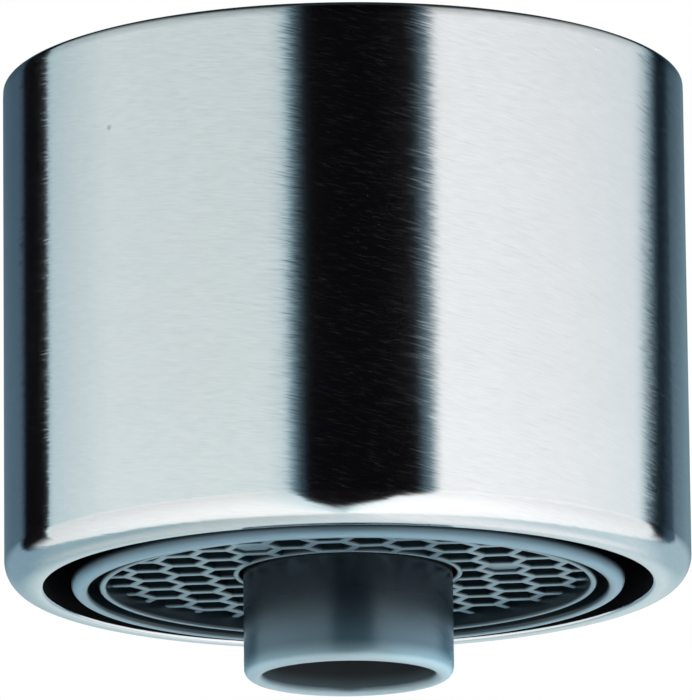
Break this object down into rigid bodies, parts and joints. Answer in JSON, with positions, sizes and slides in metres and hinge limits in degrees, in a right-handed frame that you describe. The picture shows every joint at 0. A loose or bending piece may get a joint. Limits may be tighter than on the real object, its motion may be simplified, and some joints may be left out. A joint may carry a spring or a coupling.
{
  "type": "tap aerator",
  "caption": "Cylindrical tap aerator: brushed steel shell with a female spout thread, moulded insert with a honeycomb outlet, and a central tube for a second water path.",
  "frame": {"origin": "centre of the shell's top rim, at the mouth of the spout thread", "axes": "+Z along the axis, up into the spout; the outlet and the central tube point down -Z; -Y faces the viewer of the picture"},
  "size_m": [0.024, 0.024, 0.0212],
  "materials": {
    "brushed_steel": "fine brushing round the axis, satin to bright",
    "insert_plastic": "moulded blue-grey acetal, satin",
    "nozzle_plastic": "moulded slate-grey acetal, satin",
    "inner_plastic": "moulded natural acetal, satin",
    "rubber": "black moulded rubber, dull"
  },
  "bodies": {
    "root": {"shell": "brushed_steel", "sealing_washer": "rubber", "insert_housing": "insert_plastic", "inlet_strainer": "inner_plastic", "regulator_body": "inner_plastic", "regulator_ring": "rubber", "jet_plate": "inner_plastic", "mixing_grid_upper": "inner_plastic", "mixing_grid_lower": "inner_plastic", "honeycomb": "insert_plastic", "nozzle_tube": "nozzle_plastic", "socket_seal": "rubber", "seal_retainer": "inner_plastic"}
  },
  "joints": []
}
